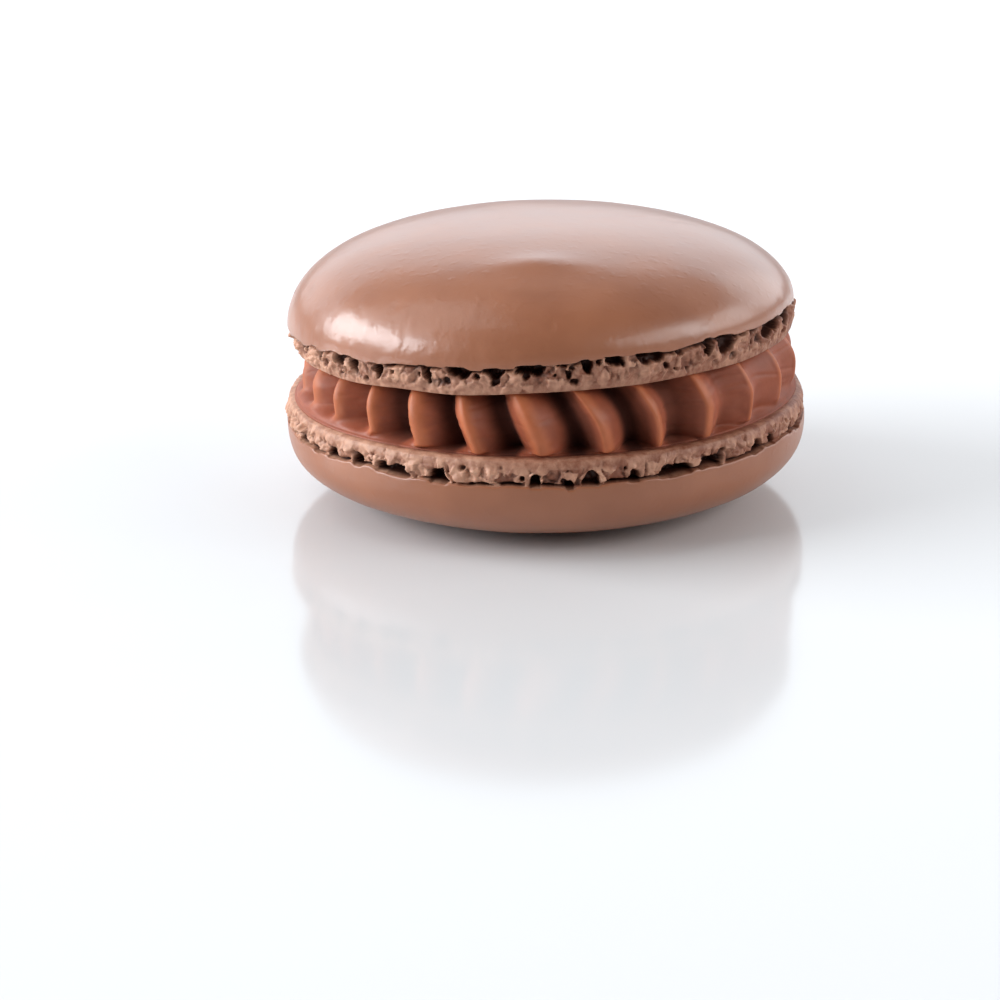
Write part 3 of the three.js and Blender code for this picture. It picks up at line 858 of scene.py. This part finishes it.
class MACARON_OT_stage(bpy.types.Operator):
    """Add the camera, the soft light and the pale floor"""
    bl_idname = "macaron.stage"
    bl_label = "Add Stage"

    def execute(self, context):
        studio = context.scene.macaron_studio
        scene = context.scene
        scene.view_settings.view_transform = "Standard"

        camera = bpy.data.cameras.new("camera")
        camera.sensor_width = SENSOR_WIDTH
        camera.lens = SENSOR_WIDTH * studio.focal_pixels / IMAGE_PIXELS
        camera.clip_start = NEAR_CLIP
        holder = bpy.data.objects.new("camera", camera)
        target = Vector((0, 0, studio.target_height))
        back = Vector((0, -math.cos(studio.elevation), math.sin(studio.elevation)))
        middle = IMAGE_PIXELS / 2
        yaw = math.atan((studio.target_pixel[0] - middle) / studio.focal_pixels)
        pitch = math.atan((studio.target_pixel[1] - middle) / studio.focal_pixels)
        look = (-back).to_track_quat("-Z", "Y").to_matrix().to_4x4()
        aim = Matrix.Rotation(yaw, 4, "Y") @ Matrix.Rotation(pitch, 4, "X")
        roll = Matrix.Rotation(studio.roll, 4, "Z")
        holder.matrix_world = Matrix.Translation(target + back * studio.distance) @ look @ roll @ aim
        scene.collection.objects.link(holder)
        scene.camera = holder

        for name, softbox in SOFTBOXES.items():
            add_softbox(name, *softbox)

        world = bpy.data.worlds.new("studio_air")
        world.use_nodes = True
        air = world.node_tree.nodes["Background"]
        air.inputs["Color"].default_value = (*linear(AIR_COLOUR), 1)
        air.inputs["Strength"].default_value = AIR_STRENGTH
        scene.world = world

        bm = bmesh.new()
        bmesh.ops.create_circle(bm, cap_ends=True, segments=FLOOR_SIDES, radius=FLOOR_RADIUS)
        mesh = bpy.data.meshes.new("floor")
        bm.to_mesh(mesh)
        bm.free()
        mesh.materials.append(polished_floor(studio.floor))
        floor = bpy.data.objects.new("floor", mesh)
        scene.collection.objects.link(floor)
        return {"FINISHED"}


class MACARON_PT_panel(bpy.types.Panel):
    """Sizes, colours and steps of the macaron"""
    bl_idname = "MACARON_PT_panel"
    bl_label = "Chocolate Macaron"
    bl_space_type = "VIEW_3D"
    bl_region_type = "UI"
    bl_category = "Macaron"

    def draw(self, context):
        for name in SETTINGS:
            settings = getattr(context.scene, name)
            box = self.layout.box()
            for field in settings.__annotations__:
                box.prop(settings, field)
        for step in STEPS:
            self.layout.operator(step.bl_idname)


SETTINGS = {
    "macaron_top_shell": TopShellSizes,
    "macaron_bottom_shell": BottomShellSizes,
    "macaron_crumb": CrumbSizes,
    "macaron_filling": FillingSizes,
    "macaron_colours": MacaronColours,
    "macaron_studio": StudioSettings,
}
STEPS = (MACARON_OT_stage, MACARON_OT_bottom_shell, MACARON_OT_filling, MACARON_OT_top_shell)


def register():
    for name, group in SETTINGS.items():
        bpy.utils.register_class(group)
        setattr(bpy.types.Scene, name, bpy.props.PointerProperty(type=group))
    for step in STEPS:
        bpy.utils.register_class(step)
    bpy.utils.register_class(MACARON_PT_panel)


def unregister():
    bpy.utils.unregister_class(MACARON_PT_panel)
    for step in reversed(STEPS):
        bpy.utils.unregister_class(step)
    for name, group in reversed(SETTINGS.items()):
        delattr(bpy.types.Scene, name)
        bpy.utils.unregister_class(group)


def main():
    """Builds the macaron on its stage."""
    register()
    bpy.ops.macaron.stage()
    bpy.ops.macaron.bottom_shell()
    bpy.ops.macaron.filling()
    bpy.ops.macaron.top_shell()


if __name__ == "__main__":
    main()
